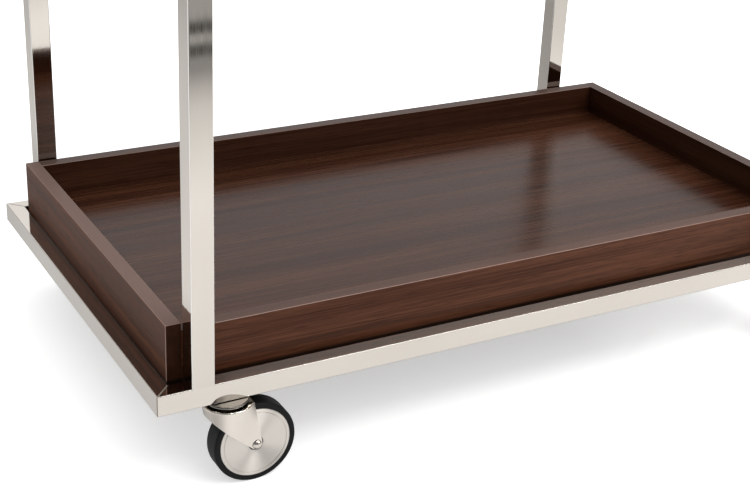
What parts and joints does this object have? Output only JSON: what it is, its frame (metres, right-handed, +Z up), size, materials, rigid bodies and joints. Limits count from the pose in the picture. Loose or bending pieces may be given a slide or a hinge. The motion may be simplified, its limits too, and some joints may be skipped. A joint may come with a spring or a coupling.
{
  "type": "bar cart",
  "caption": "Two-tier rolling bar cart: polished tube frames and posts, loose dark wood trays, and swivel casters with bright wheel discs.",
  "frame": {"origin": "on the floor, under the middle of the cart", "axes": "+X along the length, +Z up, the front with the lower tray wall towards -Y"},
  "size_m": [0.93, 0.5744, 0.8331],
  "materials": {
    "polished_nickel": "mirror polish",
    "dark_wood": "semi-gloss lacquer",
    "beech": "bare",
    "turned_steel": "turned",
    "plated_steel": "plated",
    "rubber": "smooth rubber",
    "wheel_plastic": "moulded",
    "nylon": "moulded",
    "felt": "felt"
  },
  "bodies": {
    "frame": {"lower_front_rail": "polished_nickel", "lower_back_rail": "polished_nickel", "lower_left_rail": "polished_nickel", "lower_right_rail": "polished_nickel", "lower_left_bearer": "polished_nickel", "lower_right_bearer": "polished_nickel", "upper_front_rail": "polished_nickel", "upper_back_rail": "polished_nickel", "upper_left_rail": "polished_nickel", "upper_right_rail": "polished_nickel", "upper_left_bearer": "polished_nickel", "upper_right_bearer": "polished_nickel", "front_left_post": "polished_nickel", "front_right_post": "polished_nickel", "back_left_post": "polished_nickel", "back_right_post": "polished_nickel", "bearer_pads": "felt", "caster_stems": "plated_steel", "stem_nuts": "plated_steel", "front_left_raceway": "polished_nickel", "front_right_raceway": "polished_nickel", "back_left_raceway": "polished_nickel", "back_right_raceway": "polished_nickel"},
    "lower_tray": {"lower_tray_front_wall": "dark_wood", "lower_tray_back_wall": "dark_wood", "lower_tray_left_wall": "dark_wood", "lower_tray_right_wall": "dark_wood", "lower_tray_floor": "dark_wood", "lower_tray_dowels": "beech"},
    "upper_tray": {"upper_tray_front_wall": "dark_wood", "upper_tray_back_wall": "dark_wood", "upper_tray_left_wall": "dark_wood", "upper_tray_right_wall": "dark_wood", "upper_tray_floor": "dark_wood", "upper_tray_dowels": "beech"},
    "front_left_swivel": {"front_left_fork": "polished_nickel", "front_left_axle": "plated_steel"},
    "front_left_wheel": {"front_left_wheel_core": "wheel_plastic", "front_left_bush": "nylon", "front_left_wheel_covers": "turned_steel", "front_left_tyre": "rubber"},
    "front_right_swivel": {"front_right_fork": "polished_nickel", "front_right_axle": "plated_steel"},
    "front_right_wheel": {"front_right_wheel_core": "wheel_plastic", "front_right_bush": "nylon", "front_right_wheel_covers": "turned_steel", "front_right_tyre": "rubber"},
    "back_left_swivel": {"back_left_fork": "polished_nickel", "back_left_axle": "plated_steel"},
    "back_left_wheel": {"back_left_wheel_core": "wheel_plastic", "back_left_bush": "nylon", "back_left_wheel_covers": "turned_steel", "back_left_tyre": "rubber"},
    "back_right_swivel": {"back_right_fork": "polished_nickel", "back_right_axle": "plated_steel"},
    "back_right_wheel": {"back_right_wheel_core": "wheel_plastic", "back_right_bush": "nylon", "back_right_wheel_covers": "turned_steel", "back_right_tyre": "rubber"}
  },
  "joints": [
    {"name": "lower_tray_lift", "type": "slide", "parent": "frame", "child": "lower_tray", "axis": [0, 0, 1], "range_m": [0, 0.15]},
    {"name": "upper_tray_lift", "type": "slide", "parent": "frame", "child": "upper_tray", "axis": [0, 0, 1], "range_m": [0, 0.15]},
    {"name": "front_left_swivel_turn", "type": "hinge", "parent": "frame", "child": "front_left_swivel", "pos_m": [-0.385, -0.2605, 0.1031], "axis": [0, 0, 1], "continuous": true},
    {"name": "front_left_wheel_spin", "type": "hinge", "parent": "front_left_swivel", "child": "front_left_wheel", "pos_m": [-0.357, -0.2605, 0.0465], "axis": [0, 1, 0], "continuous": true},
    {"name": "front_right_swivel_turn", "type": "hinge", "parent": "frame", "child": "front_right_swivel", "pos_m": [0.385, -0.2605, 0.1031], "axis": [0, 0, 1], "continuous": true},
    {"name": "front_right_wheel_spin", "type": "hinge", "parent": "front_right_swivel", "child": "front_right_wheel", "pos_m": [0.413, -0.2605, 0.0465], "axis": [0, 1, 0], "continuous": true},
    {"name": "back_left_swivel_turn", "type": "hinge", "parent": "frame", "child": "back_left_swivel", "pos_m": [-0.385, 0.2605, 0.1031], "axis": [0, 0, 1], "continuous": true},
    {"name": "back_left_wheel_spin", "type": "hinge", "parent": "back_left_swivel", "child": "back_left_wheel", "pos_m": [-0.357, 0.2605, 0.0465], "axis": [0, 1, 0], "continuous": true},
    {"name": "back_right_swivel_turn", "type": "hinge", "parent": "frame", "child": "back_right_swivel", "pos_m": [0.385, 0.2605, 0.1031], "axis": [0, 0, 1], "continuous": true},
    {"name": "back_right_wheel_spin", "type": "hinge", "parent": "back_right_swivel", "child": "back_right_wheel", "pos_m": [0.413, 0.2605, 0.0465], "axis": [0, 1, 0], "continuous": true}
  ]
}
